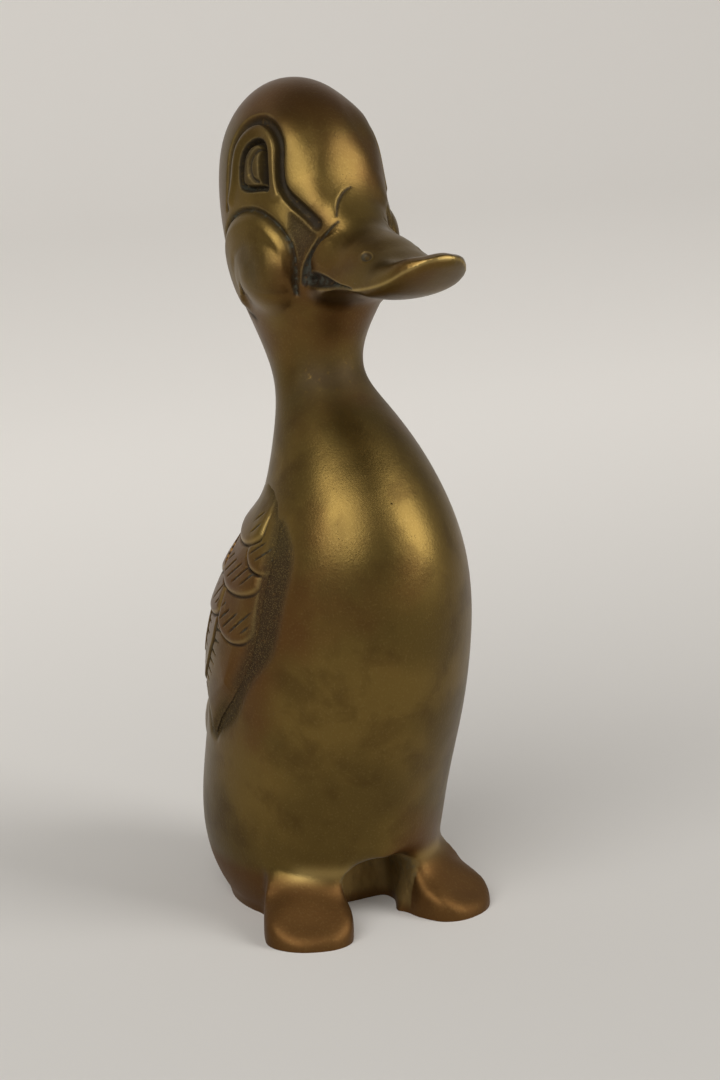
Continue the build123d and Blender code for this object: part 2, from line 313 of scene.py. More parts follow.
# Wing in side view: its outline, the lapped feathers from the top down (middle, tip, half width, roundness)
# and the long feathers' edges. It lies on the flank, and ends where that turns to the back.
WING_LEAST_SIDE = 8.0
WING_BACK_SIDE = 8.8
WING_RISE = 0.95
WING_SINK = 0.14
WING_SEAT = 0.06
FEATHER_RISE = 0.7
BARB_PITCH = 1.9
THORN_PITCH = 2.3
THORN_LENGTH = 2.9
BAND_LAP = 2.5
BAND_DEPTH = 0.22
WING_FRONT = [
    (-4.6, 87.3), (-8.4, 86.7), (-11.3, 84.8), (-13.4, 81.6), (-14.2, 77.0), (-14.4, 72.8), (-14.2, 69.0),
    (-14.0, 64.9), (-13.6, 60.6), (-12.2, 54.8), (-9.2, 49.9), (-5.6, 45.4), (-0.6, 40.4), (2.2, 36.6),
]
WING_BACK = [
    (4.6, 37.0), (8.2, 41.5), (11.4, 47.5), (13.4, 54.0), (14.0, 61.0), (12.8, 68.5), (9.6, 76.0),
    (5.0, 82.6), (0.0, 86.2),
]
BAND_EDGE = [
    (-14.6, 82.4), (-18.2, 78.3), (-19.5, 75.7), (-19.9, 72.5), (-19.6, 69.2), (-19.1, 63.3), (-18.4, 58.9),
    (-16.9, 55.2), (-12.9, 50.6), (-10.3, 46.8), (-7.3, 41.3), (-2.0, 37.5), (2.2, 35.6),
]
FEATHERS = [
    (-3.5, 74.9, 7.0, 0.5), (9.0, 76.0, 6.2, 0.6), (-12.0, 70.9, 5.2, 0.8), (-5.5, 65.9, 7.6, 0.45),
    (7.5, 67.0, 6.6, 0.55), (4.0, 60.0, 6.0, 0.45), (14.0, 60.0, 5.0, 0.6), (-7.2, 56.9, 6.0, 0.75),
]
LONG_FEATHERS = [
    [(-0.7, 60.4), (0.6, 55.6), (3.4, 50.8), (8.2, 44.6)],
    [(5.2, 60.6), (6.6, 55.8), (8.9, 51.4), (11.9, 47.6)],
    [(10.2, 60.6), (11.2, 57.0), (12.6, 53.6), (13.6, 51.6)],
]

# Fillets at the brazed joints: middle, reach, rounds of smoothing
FILLETS = [
    ((0, -12.5, 137.5), 13, 150),
    ((5, -12.0, 134.5), 8, 60),
    ((0, -13, 121.5), 8, 40),
    ((8, -9, 122), 6, 20),
    ((13, 3, 117), 8, 40),
    ((14, 3, 136), 6, 25),
    ((9, 24, 40), 14, 50),
    ((9, 24, 16), 14, 50),
    ((8, -17, 11), 10, 90),
    ((14.5, -13.5, 9.5), 8, 80),
    ((18, -25, 3), 16, 40),
    ((8, -15, 5), 8, 40),
    ((8.6, -8.5, 6), 8, 50),
    ((0, -14, 14), 9, 16),
]


def stance(points):
    """How far points lie from the median plane, behind the upright axis and above the floor."""
    return np.abs(points[:, 0]), points[:, 1] - AXIS_Y, points[:, 2]


def ball(centre, reach):
    """Weight that falls from one at a point to nothing at a reach from it, on both sides."""
    gap = np.sqrt((side - centre[0]) ** 2 + (back - centre[1]) ** 2 + (up - centre[2]) ** 2)
    return 1 - step(0.35 * reach, reach, gap)


# Feet spread and fall off to their rims. The lowest part is stretched, and is cut flat at the floor later.
points, edges = mesh_arrays(whole)
side, back, up = stance(points)
toe = np.array((-math.sin(FOOT_SPLAY), -math.cos(FOOT_SPLAY)))
aside = np.array((-toe[1], toe[0]))
toe_run = -side * toe[0] + back * toe[1]
toe_off = -side * aside[0] + back * aside[1] - FOOT_ASIDE
on_foot = step(*FOOT_RUN, toe_run) * (1 - step(*FOOT_HEIGHT, up))
spread = FOOT_SPREAD * on_foot * toe_off
points[:, 0] += np.sign(points[:, 0]) * -aside[0] * spread
points[:, 1] += aside[1] * spread
fall = np.maximum(step(*TOE_FALL, toe_run), RIM_SHARE * step(*RIM_FALL, np.abs(toe_off)))
points[:, 2] *= 1 - FOOT_FALL * on_foot * fall
points[:, 2] -= SOLE_STRETCH * np.clip(SOLE_LAYER - points[:, 2], 0, None)

# Skin of the brazed and filed castings: fillets at the joints, no trace of the remesh
side, back, up = stance(points)
points = relax(points, edges, 8)
for centre, reach, rounds in FILLETS:
    points = relax(points, edges, rounds, ball(centre, reach), keep_size=False)

# Full shoulders between forehead and bill
side, back, up = stance(points)
rise = up - SHOULDER_HEIGHT
run_side = side - SHOULDER_SIDE
run_back = back + SHOULDER_AHEAD - SHOULDER_LEAN * np.clip(rise, 0, SHOULDER_LEAN_END)
run_up = np.where(rise > 0, SHOULDER_ABOVE * rise, SHOULDER_BELOW * rise)
reach = np.sqrt(run_side ** 2 + run_back ** 2 + run_up ** 2)
shoulder = SHOULDER_FULLNESS * (1 - step(*SHOULDER_REACH, reach))
points[:, 0] += SHOULDER_WAY[0] * shoulder * np.clip(points[:, 0] / SHOULDER_SIDE, -1, 1)
points[:, 1] += SHOULDER_WAY[1] * shoulder
points = relax(points, edges, 45, ball((4, -10, 140), 15), keep_size=False)

# The spoon of the bill curls up and is hollowed on top
ahead = -back
on_bill = step(*BILL_RUN, ahead) * step(*BILL_HEIGHT, up)
points[:, 2] += BILL_CURL * step(*CURL_RUN, ahead) * on_bill
lifted = BILL_LIFT * step(*LIFT_START, ahead) * (1 - step(*LIFT_END, ahead))
points[:, 2] += lifted * step(*BILL_HEIGHT, up)
normals = vertex_normals(whole)
dish = on_bill * step(*DISH_START, ahead) * (1 - step(*DISH_END, ahead))
dish = dish * step(*DISH_FACING, normals[:, 2])
points[:, 2] -= BILL_HOLLOW * dish * (1 - step(*DISH_SIDE, side))
points = relax(points, edges, 6, on_bill)
points = relax(points, edges, 2)
set_points(whole, points)

faces = values_of(whole.loops, "vertex_index", 1, np.int32)
starts = values_of(whole.polygons, "loop_start", 1, np.int32)
tree = BVHTree.FromPolygons([tuple(p) for p in points], [tuple(f) for f in np.split(faces, starts[1:])])


def face_middles(mesh):
    return values_of(mesh.polygons, "center", 3).astype(float) / MM - AXIS


def inside_gap(polygon, spots):
    """How far points in side view lie inside a polygon. Outside it is negative."""
    corners = np.array(polygon, float)
    gap = np.full(len(spots), 1e9)
    odd = np.zeros(len(spots), bool)
    for a, b in zip(corners, np.roll(corners, -1, axis=0)):
        run = b - a
        share = np.clip(((spots - a) @ run) / (run @ run), 0, 1)
        gap = np.minimum(gap, np.linalg.norm(spots - a - share[:, None] * run, axis=1))
        crosses = (a[1] > spots[:, 1]) != (b[1] > spots[:, 1])
        with np.errstate(divide="ignore", invalid="ignore"):
            where = a[0] + (spots[:, 1] - a[1]) / (b[1] - a[1]) * run[0]
        odd ^= crosses & (spots[:, 0] < where)
    return np.where(odd, gap, -gap)


BAND = BAND_EDGE + [(y + BAND_LAP, z) for y, z in WING_FRONT[:2:-1]]
WING = WING_FRONT + WING_BACK


def wing_gap_at(spots):
    """How far points lie inside the wing, seen from the side and from behind."""
    return np.minimum(inside_gap(WING, spots[:, 1:]), 1.5 * (-spots[:, 0] - WING_BACK_SIDE))


def chased(middles, spare):
    """Faces on the sides of the head and bill and on the matted band, with some to spare round them."""
    x, y, z = np.abs(middles[:, 0]), middles[:, 1], middles[:, 2]

    def within(value, low, high):
        return (value > low - spare) & (value < high + spare)

    head_side = (x > 5.5 - spare) & within(y, -12, 14.5) & within(z, 121, 155.5)
    bill_side = (x > 3 - spare) & (y < -7 + spare) & within(z, 122.5, 136)
    band = (x > WING_LEAST_SIDE) & (inside_gap(BAND, middles[:, 1:]) > -0.5 - spare)
    bridge = (x < 6 + spare) & within(y, -13, -7) & within(z, 133, 144)
    return np.flatnonzero(head_side | bill_side | band | bridge)


# The wing starts as a copy of the flank that it lies on
middles = face_middles(whole)
on_flank = (middles[:, 0] < -WING_LEAST_SIDE) & (inside_gap(WING, middles[:, 1:]) > -1.4)
wanted = set(np.flatnonzero(on_flank).tolist())
flank = bmesh.new()
flank.from_mesh(whole)
flank.faces.ensure_lookup_table()
bmesh.ops.delete(flank, geom=[f for f in flank.faces if f.index not in wanted], context="FACES")
wing_mesh = bpy.data.meshes.new("wing")
flank.to_mesh(wing_mesh)
flank.free()

# Finer mesh where there is chasing
fine = whole
for spare in (1.2, 0.0):
    picked = chased(face_middles(fine), spare)
    detail = bmesh.new()
    detail.from_mesh(fine)
    detail.faces.ensure_lookup_table()
    cut_edges = list({e for i in picked for e in detail.faces[i].edges})
    bmesh.ops.subdivide_edges(detail, edges=cut_edges, cuts=1, use_grid_fill=True, smooth=1.0)
    detail.to_mesh(fine)
    detail.free()
    points, edges = mesh_arrays(fine)
    weight = np.zeros(len(points))
    new_faces = chased(face_middles(fine), spare)
    corners = values_of(fine.loops, "vertex_index", 1, np.int32)
    first = values_of(fine.polygons, "loop_start", 1, np.int32)
    for i in range(3):
        weight[corners[first[new_faces] + i]] = 1
    set_points(fine, relax(points, edges, 3, weight))
points, edges = mesh_arrays(fine)
normals = vertex_normals(fine)
mirrored = points - AXIS
mirrored[:, 0] = -np.abs(mirrored[:, 0])
lift = np.zeros(len(points))
grime_and_shade = np.zeros(len(points))
green = np.zeros(len(points))
matte = np.zeros(len(points))
worn_and_highlight = np.zeros(len(points))


def trace(spots):
    """A smooth line on the skin through spots: close points on it, and the skin's directions outward."""
    held = []
    for spot in spots:
        if len(spot) == 2:
            found = tree.ray_cast(Vector((-80, spot[0] + AXIS_Y, spot[1])), Vector((1, 0, 0)))[0]
        else:
            found = tree.find_nearest(Vector((spot[0], spot[1] + AXIS_Y, spot[2])))[0]
        held.append(found)
    held = np.array(held)
    guide = np.vstack([2 * held[0] - held[1], held, 2 * held[-1] - held[-2]])
    line = []
    outward = []
    for a, b, c, d in zip(guide, guide[1:], guide[2:], guide[3:]):
        for t in np.arange(0, 1, 0.2 / max(np.linalg.norm(c - b), 0.2)):
            spot = b + 0.5 * t * (c - a + t * (2 * a - 5 * b + 4 * c - d + t * (3 * (b - c) + d - a)))
            found, direction = tree.find_nearest(Vector(spot))[:2]
            line.append(found)
            outward.append(direction)
    return np.array(line) - AXIS, np.array(outward)


BATCH = 4000
SEED = 11
EVERYWHERE = slice(None)


def near(line, reach):
    """Points of the skin near a line: which, how far from it, on which hand, and how far along it."""
    spots, outward = line
    box = ((mirrored > spots.min(0) - reach) & (mirrored < spots.max(0) + reach)).all(1)
    found = np.flatnonzero(box)
    gap = np.empty(len(found))
    which = np.empty(len(found), int)
    for start in range(0, len(found), BATCH):
        batch = slice(start, start + BATCH)
        square = ((mirrored[found[batch]][:, None] - spots[None]) ** 2).sum(2)
        which[batch] = square.argmin(1)
        gap[batch] = np.sqrt(square.min(1))
    close = gap < reach
    found, gap, which = found[close], gap[close], which[close]
    across = np.cross(np.gradient(spots, axis=0)[which], outward[which])
    hand = np.sign(((mirrored[found] - spots[which]) * across).sum(1))
    return found, gap, hand, which / (len(spots) - 1)


def along(values, place):
    return np.interp(place, np.linspace(0, 1, len(values)), values)


def mark(mask, found, value):
    mask[found] = np.maximum(mask[found], value)


def groove(spots, depth, width, verdigris=0.5, flat=2):
    """Chases a line into the skin. Depth and width run from start to end. Flat is 4 for a channel."""
    found, gap, _, place = near(trace(spots), 3 * max(width))
    wide = along(width, place)
    deep = along(depth, place)
    lift[found] -= deep * bell(gap, wide, flat)
    mark(grime_and_shade, found, bell(gap, 1.1 * wide, flat))
    mark(grime_and_shade, found, 0.4 * bell(gap, 1.9 * wide))
    mark(green, found, verdigris * bell(gap, 1.2 * wide, flat))


def swell(spots, rise, full, fade, end, hand_wanted, ends=0.06):
    """Raises the skin on one hand of a line, to its full height, and fading from there to an end."""
    found, gap, hand, place = near(trace(spots), end)
    height = step(0, full, gap) * (1 - step(fade, end, gap)) * (hand == hand_wanted)
    lift[found] += rise * height * step(0, ends, place) * (1 - step(1 - ends, 1, place))


def sunk(polygon, depth, soft, least_side=3.0):
    """Sinks the skin within a polygon in side view, and returns which points and how far inside they lie."""
    found = np.flatnonzero(mirrored[:, 0] < -least_side)
    corners = np.array(polygon, float)
    for _ in range(2):
        following = np.roll(corners, -1, axis=0)
        pair = [0.75 * corners + 0.25 * following, 0.25 * corners + 0.75 * following]
        corners = np.stack(pair, 1).reshape(-1, 2)
    box = ((mirrored[found, 1:] > corners.min(0) - 1) & (mirrored[found, 1:] < corners.max(0) + 1)).all(1)
    found = found[box]
    gap = inside_gap(corners, mirrored[found, 1:])
    lift[found] -= depth * step(-0.15, soft, gap)
    return found, gap


# Cheek
swell(CHEEK_LINE, 0.9, full=2.6, fade=5.0, end=10.0, hand_wanted=1)
groove(CHEEK_LINE, (0.15, 0.3, 0.5, 0.7, 0.8, 0.8, 0.85, 0.85, 0.8, 0.7), (0.5, 0.5, 0.5, 0.55, 0.5, 0.5))

# Eye: a brow channel, a rounded lid ridge, a deep socket, and the ball with its own lid and pupil
found, gap, hand, place = near(trace(EYE_LINE), 7.5)
brow_side = (hand == BROW_HAND) * step(0.40, 0.55, place) * step(1, 0.92, place)
lift[found] += 0.65 * step(0.3, 1.6, gap) * (1 - step(1.8, 7.0, gap)) * brow_side
brow_depths = (0.5, 0.9, 1.2, 1.3, 1.4, 1.4, 1.4, 1.4, 1.2)
brow_widths = (0.5, 0.6, 0.8, 0.95, 0.95, 0.85, 0.85, 1.0, 1.2)
groove(EYE_LINE, brow_depths, brow_widths, verdigris=0.05, flat=4)
found, gap, _, place = near(trace(RING_LINE), 2.6)
lift[found] += 0.48 * bell(gap, 0.95)
# Rubbed brass on the lid ridge's front half, partly a painted highlight
mark(worn_and_highlight, found, 0.15 * bell(gap, 0.6) * step(0.45, 0.6, place))
found, gap = sunk(SOCKET, depth=1.8, soft=0.4)
lid = step(0.45, 1.35, gap)
ball_run = np.clip(gap - 0.5, 0, 3.0) / 3.0
lift[found] += lid * (0.75 + 1.35 * np.sqrt(np.clip(1 - (1 - ball_run) ** 2, 0, 1)))
mark(grime_and_shade, found, step(-0.5, 0.0, gap) * (1 - step(0.8, 1.4, gap)))
mark(grime_and_shade, found, 0.6 * step(0.8, 1.4, gap))
socket_foot = step(143.0, 141.2, mirrored[found, 2])
mark(green, found, 0.4 * step(-0.2, 0.2, gap) * (1 - step(0.5, 1.2, gap)) * socket_foot)
groove(SLOT_LINE, (1.0, 1.3, 1.3, 1.0), (0.6, 0.8, 0.8, 0.7), verdigris=0.0, flat=4)
groove(PUPIL_LINE, (0.6, 0.75, 0.8, 0.75, 0.6), (0.34, 0.42, 0.46, 0.44, 0.38), verdigris=0.1)

# Between eye, cheek and bill
found, gap = sunk(LORE, depth=0.9, soft=1.3)
mark(matte, found, 0.5 * step(-0.8, 0.8, gap))
mark(grime_and_shade, found, 0.75 * step(-0.8, 1.0, gap))
found, gap = sunk(ROOT_GAP, depth=0.6, soft=0.6)
mark(grime_and_shade, found, step(-0.3, 0.3, gap))
mark(green, found, 0.4 * step(-0.2, 0.4, gap))
swell(ROOT_LINE, 1.4, full=1.5, fade=2.2, end=8.0, hand_wanted=-1, ends=0.35)
groove(ROOT_LINE, (0.1, 0.45, 0.7, 0.8, 0.8), (0.2, 0.3, 0.4, 0.5, 0.55), verdigris=0.3)
found, gap = sunk(MOUTH, depth=1.4, soft=0.7)
mark(grime_and_shade, found, step(-0.3, 0.3, gap))
mark(green, found, 0.45 * step(-0.1, 0.5, gap))
run = mirrored - np.array(BILL_SIDE)
lift -= 0.9 * np.exp(-((run[:, 1] / 5.0) ** 2 + (run[:, 2] / 2.6) ** 2 + (run[:, 0] / 4.0) ** 2))

# Bill
found, gap, _, place = near(trace(BILL_RIM), 2.0)
lift[found] += 0.16 * bell(gap, 0.4) * step(0, 0.12, place)
# Rubbed wear along the bill's rim, partly a painted highlight
mark(worn_and_highlight, found, bell(gap, 0.28) * step(0.1, 0.25, place))
spot = trace([NOSTRIL, (NOSTRIL[0] + 0.2, NOSTRIL[1] - 0.4, NOSTRIL[2])])[0][0]
run = mirrored - spot
size = np.sqrt((run[:, 1] / 1.15) ** 2 + (run[:, 0] / 0.75) ** 2 + (run[:, 2] / 1.2) ** 2)
lift -= 0.5 * np.exp(-(size ** 4)) - 0.12 * bell(size - 1.35, 0.3)
mark(grime_and_shade, EVERYWHERE, 0.8 * bell(size - 0.9, 0.35))
mark(green, EVERYWHERE, 0.3 * bell(size - 0.8, 0.4))
kept = mirrored.copy()
mirrored[:, 0] = points[:, 0]
groove(CREASE, (0.1, 0.45, 0.55, 0.45, 0.1), (0.2, 0.28, 0.32, 0.28, 0.2), verdigris=0.1)
mirrored = kept

# Wear has softened the chasing
count = np.maximum(np.bincount(edges.ravel(), minlength=len(points)), 1)
for _ in range(3):
    lift = 0.5 * lift + 0.5 * neighbour_mean(lift[:, None], edges, count)[:, 0]

# Matted band before the wing, patina and painted shade on the throat, a painted dark reflection on the
# cheek, and rough skin of the casting in the niche, lightened with painted light
chance = np.random.default_rng(SEED)
grain = chance.normal(size=(len(points), 1))
grain = (0.5 * grain + 0.5 * neighbour_mean(grain, edges, count))[:, 0]
found, gap = sunk(LORE, depth=0.0, soft=1.0)
lift[found] += 0.05 * grain[found] * step(-0.2, 0.6, gap)
found, gap = sunk(BAND, BAND_DEPTH, soft=1.0, least_side=WING_LEAST_SIDE)
lift[found] += 0.06 * grain[found] * step(-0.3, 0.6, gap)
mark(matte, found, step(-0.9, 1.6, gap))
mark(grime_and_shade, found, 0.85 * step(-0.9, 1.6, gap))
# Dark patina on the front of the throat, partly painted shade standing in for the dark reflection of the
# bill's underside
throat_patina_and_shade = bell(points[:, 2] - 106, 4.5) * step(1, -4, mirrored[:, 1])
mark(grime_and_shade, EVERYWHERE, 0.65 * throat_patina_and_shade)
# Painted dark reflection across the middle of the cheek
cheek_painted_reflection = ((mirrored[:, 1] - 0.5) / 4.5) ** 2 + ((mirrored[:, 2] - 126.5) / 3.5) ** 2
mark(grime_and_shade, EVERYWHERE, 0.45 * np.exp(-cheek_painted_reflection) * step(-5, -8, mirrored[:, 0]))
side_now = np.abs(points[:, 0])
in_niche = (side_now < NICHE_HALF_WIDTH + 0.6) & (points[:, 2] < NICHE_HEIGHT + 0.8)
in_niche &= (points[:, 1] < NICHE_BACK_Y + 1) & (points[:, 1] > -17)
rough = in_niche * step(0.5, 3.0, points[:, 2])
lift += 0.10 * grain * rough
mark(matte, EVERYWHERE, 0.7 * rough * step(5, 11, points[:, 2]))
# Painted light: the rubbed colour lightens the niche against its shade
mark(worn_and_highlight, EVERYWHERE, 0.6 * rough)
# Darker towards the niche's top and its side walls
mark(grime_and_shade, EVERYWHERE, 0.3 * rough * np.maximum(step(8, 12, points[:, 2]), step(5, 7.5, side_now)))
mark(green, EVERYWHERE, 0.35 * rough * step(5, 10, points[:, 2]))
# Painted highlight along the root fillet of each foot at the instep
instep_highlight = bell(points[:, 2] - 11.8, 1.4) * step(-11, -14, points[:, 1]) * step(5, 8, side_now)
mark(worn_and_highlight, EVERYWHERE, 0.7 * instep_highlight)
under_wing = np.flatnonzero(mirrored[:, 0] < -WING_LEAST_SIDE)
wing_gap = wing_gap_at(mirrored[under_wing])
lift[under_wing] -= 0.12 * step(0.5, 1.2, wing_gap)
tip_gap = bell(wing_gap + 0.7, 0.8) * (1 - step(40, 50, mirrored[under_wing, 2]))
lift[under_wing] -= 0.4 * tip_gap
# Painted shadow on the flank just outside the wing's tip
mark(grime_and_shade, under_wing, 0.7 * tip_gap)

points = points + normals * lift[:, None]
set_points(fine, points)

# Wing: lapped feathers over long ones, raised from the flank
wing_thing = new_object("wing_patch", wing_mesh)
split = wing_thing.modifiers.new("finer", "SUBSURF")
split.levels = 2
wing_mesh = applied(wing_thing)
wing_base = mesh_arrays(wing_mesh)[0]
wing_normals = vertex_normals(wing_mesh)
flat = wing_base[:, 1:] - np.array((AXIS_Y, 0))
y, z = flat.T
edge_gap = wing_gap_at(np.column_stack([wing_base[:, 0], flat]))
tip_share = 1 - step(38, 56, z)
front_share = step(-2, -9, y) * step(42, 50, z)
top_share = step(70, 82, z)
soft_share = np.maximum(front_share, top_share)
soft_share = np.maximum(soft_share, 0.8 * tip_share)
edge_run = 2.2 + 4.0 * soft_share
relief = (WING_RISE - 0.3 * soft_share) * step(0, 1, edge_gap / edge_run) ** (0.75 + 0.25 * soft_share)
# Painted shadow along the wing's edge at its tip; the chased lines below add dark patina
wing_grime_and_shade = 0.6 * bell(np.maximum(edge_gap, 0), 0.4) * tip_share
back_share = step(4, 10, y) * step(52, 60, z)
wing_green = np.zeros(len(y))
wing_worn = np.zeros(len(y))
barb_across = (0.69 * y + 0.72 * z) / BARB_PITCH
covered = np.zeros(len(y), bool)
for number, (middle, tip, half_width, round_share) in enumerate(FEATHERS):
    u = (y - middle) / half_width
    edge_z = tip + round_share * half_width * (1 - np.sqrt(np.clip(1 - u * u, 0, 1)))
    over = z - edge_z
    slope = np.sqrt(1 + (round_share * u / np.sqrt(np.clip(1 - u * u, 0.05, 1))) ** 2)
    gap = np.minimum(over / slope, (1 - np.abs(u)) * half_width)
    inside = (gap > 0) & ~covered & (over < 12)
    rise = FEATHER_RISE * np.sqrt(step(0, 1, gap / 1.7)) * (1 - step(1.0, 9, over))
    relief += np.where(inside, rise, 0) * step(0, 3.0, edge_gap) * (1 - 0.7 * back_share)
    line = bell(gap, 0.26) * (np.abs(u) < 0.995) * ~covered * (over < 4.5)
    relief -= 0.3 * line
    wing_grime_and_shade = np.maximum(wing_grime_and_shade, line)
    wing_worn = np.maximum(wing_worn, 0.5 * bell(gap - 0.6, 0.35) * inside)
    zone = step(2.0, 2.8, over) * (1 - step(5.4, 6.4, over)) * (1 - step(0.6, 0.85, np.abs(u))) * inside
    zone = zone * (1 - step(1, 4, y))
    if number == 0:
        zone = zone * step(-5.5, -8.0, y)
    stroke = step(0.36, 0.45, np.abs(barb_across % 1 - 0.5)) * zone
    relief -= 0.32 * stroke
    wing_grime_and_shade = np.maximum(wing_grime_and_shade, stroke)
    wing_green = np.maximum(wing_green, 0.6 * stroke)
    covered |= inside
for spots in LONG_FEATHERS:
    guide = np.array(spots, float)
    share = np.linspace(0, 1, 160)
    line = np.stack([np.interp(share, np.linspace(0, 1, len(guide)), guide[:, axis]) for axis in (0, 1)], 1)
    for _ in range(12):
        line[1:-1] = (line[:-2] + line[1:-1] + line[2:]) / 3
    square = ((flat[:, None] - line[None]) ** 2).sum(2)
    which = square.argmin(1)
    gap = np.sqrt(square.min(1))
    run = np.concatenate([[0], np.cumsum(np.linalg.norm(np.diff(line, axis=0), axis=1))])[which]
    ahead_of = ((flat - line[which]) * np.array((-0.95, -0.3))).sum(1)
    open_part = ~covered & (which > 0) & (which < 159)
    line_mark = bell(gap, 0.34) * open_part
    relief -= 0.45 * line_mark
    relief += 0.3 * np.exp(-gap / 1.2) * (ahead_of < 0) * open_part * step(0.1, 0.5, gap)
    thorn = np.abs((run + 0.25 * gap) / THORN_PITCH % 1 - 0.5)
    taper = np.clip(1 - gap / THORN_LENGTH, 0, 1)
    stroke = step(0.5 - 0.24 * taper, 0.501 - 0.10 * taper, thorn) * open_part
    stroke = stroke * (ahead_of > 0) * (gap < THORN_LENGTH)
    relief -= 0.35 * stroke
    wing_grime_and_shade = np.maximum(wing_grime_and_shade, np.maximum(line_mark, stroke))
    wing_green = np.maximum(wing_green, 0.4 * np.maximum(line_mark, stroke))
relief = np.where(edge_gap > 0, np.maximum(relief, 0.03), 0)
front_edge = np.maximum(front_share, step(-9, -4, -y) * step(50, 42, z)) * (1 - step(0.6, 3.0, edge_gap))
wing_matte = front_edge
wing_grime_and_shade = np.maximum(wing_grime_and_shade, 0.7 * front_edge)

# The wing becomes a closed casting: its raised face, and the same face again just under the flank
wing_polys = values_of(wing_mesh.loops, "vertex_index", 1, np.int32).reshape(-1, 4)
all_round = np.bincount(wing_polys.ravel(), minlength=len(relief))
wing_polys = wing_polys[(relief[wing_polys] > 0).any(1)]
kept_round = np.bincount(wing_polys.ravel(), minlength=len(relief))
relief = np.where((kept_round == all_round) & (kept_round > 0), np.maximum(relief, 0.03), relief)
used = np.unique(wing_polys)
place_of = np.full(len(relief), -1)
place_of[used] = np.arange(len(used))
wing_polys = place_of[wing_polys]
relief, wing_base, wing_normals = relief[used], wing_base[used], wing_normals[used]
wing_base = wing_base - wing_normals * (WING_SINK * (1 - step(0.2, 1.1, edge_gap[used])))[:, None]
proud = np.flatnonzero(relief > 0)
under = np.arange(len(used))
under[proud] = len(used) + np.arange(len(proud))
raised = wing_base + wing_normals * relief[:, None]
solid_points = np.vstack([raised, wing_base[proud] - WING_SEAT * wing_normals[proud]])
through_first = (relief[wing_polys[:, 0]] > 0) | (relief[wing_polys[:, 2]] > 0)
ordered = np.where(through_first[:, None], wing_polys, np.roll(wing_polys, -1, axis=1))
halves = np.vstack([ordered[:, [0, 1, 2]], ordered[:, [0, 2, 3]]])
solid_faces = np.vstack([halves, under[halves][:, ::-1]])
bpy.data.meshes.remove(wing_mesh)
wing_mesh = bpy.data.meshes.new("right_wing_skin")
wing_mesh.from_pydata([tuple(p * MM) for p in solid_points], [], [tuple(f) for f in solid_faces])
wing_edge = step(0.6, 1.6, edge_gap)
wing_marks = {
    "grime_and_shade": wing_grime_and_shade,
    "green": wing_green,
    "matte": wing_matte,
    "worn_and_highlight": wing_worn,
    "edge": wing_edge,
}
wing_marks = {name: np.concatenate([v[used], v[used][proud]]) for name, v in wing_marks.items()}


def bend(mesh):
    """How sharply the skin turns outward, or inward where it is negative, averaged over a few neighbours."""
    points, edges = mesh_arrays(mesh)
    count = np.maximum(np.bincount(edges.ravel(), minlength=len(points)), 1)
    square = ((points[edges[:, 0]] - points[edges[:, 1]]) ** 2).sum(1)
    total = np.bincount(edges[:, 0], square, len(points)) + np.bincount(edges[:, 1], square, len(points))
    away = points - neighbour_mean(points, edges, count)
    turn = (away * vertex_normals(mesh)).sum(1) / np.maximum(total / count, 1e-6)
    turn = turn[:, None]
    for _ in range(3):
        turn = (turn + neighbour_mean(turn, edges, count)) / 2
    return turn[:, 0]


def store(mesh, marks):
    for name, values in marks.items():
        layer = mesh.attributes.new(name, "FLOAT", "POINT")
        layer.data.foreach_set("value", np.asarray(values, np.float32))


wing_marks["ridge"] = bend(wing_mesh) * wing_marks.pop("edge")
store(wing_mesh, wing_marks)
store(fine, {"grime_and_shade": grime_and_shade, "green": green, "matte": matte, "worn_and_highlight": worn_and_highlight, "ridge": bend(fine)})


def block(corners):
    """A closed block on eight corners, the lower four before the upper four."""
    mesh = bpy.data.meshes.new("block")
    sides = [(3, 2, 1, 0), (4, 5, 6, 7), (0, 1, 5, 4), (1, 2, 6, 5), (2, 3, 7, 6), (3, 0, 4, 7)]
    mesh.from_pydata([tuple(c * MM for c in p) for p in corners], [], sides)
    return mesh


def box(low, high):
    (a, b, c), (d, e, f) = low, high
    return block([(a, b, c), (d, b, c), (d, e, c), (a, e, c), (a, b, f), (d, b, f), (d, e, f), (a, e, f)])


def cut(mesh, operation, other):
    """A mesh cut by another. The first is left as it is."""
    thing = new_object("cut", mesh.copy())
    tool = new_object("tool", other)
    change = thing.modifiers.new("cut", "BOOLEAN")
    change.operation = operation
    change.solver = "MANIFOLD"
    change.object = tool
    result = applied(thing)
    bpy.data.objects.remove(tool)
    return result


def thinned(mesh, triangles):
    """A mesh with its smallest faces merged, down to about a number of triangles."""
    now = sum(p.loop_total - 2 for p in mesh.polygons)
    if now <= triangles:
        return mesh
    thing = new_object("thinned", mesh)
    merge = thing.modifiers.new("merge", "DECIMATE")
    merge.ratio = triangles / now
    return applied(thing)


# Most triangles of the skin and of a wing, area of a sliver, a length beyond the duck, and the line beside
# the seam from which the hollow is measured
SKIN_TRIANGLES = 300000
WING_TRIANGLES = 70000
SLIVER = 0.05
FAR = 100
CORE_X = 0.02
walls = []
for name in SHELLS:
    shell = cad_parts[name].data
    spots = [v.co / MM for v in shell.vertices]
    walls.append(BVHTree.FromPolygons(spots, [tuple(p.vertices) for p in shell.polygons]))


def first_wall(start, direction):
    """How far it is from a point inside the hollow to the wall."""
    hits = [w.ray_cast(start, direction)[3] for w in walls]
    return min((h for h in hits if h is not None), default=None)


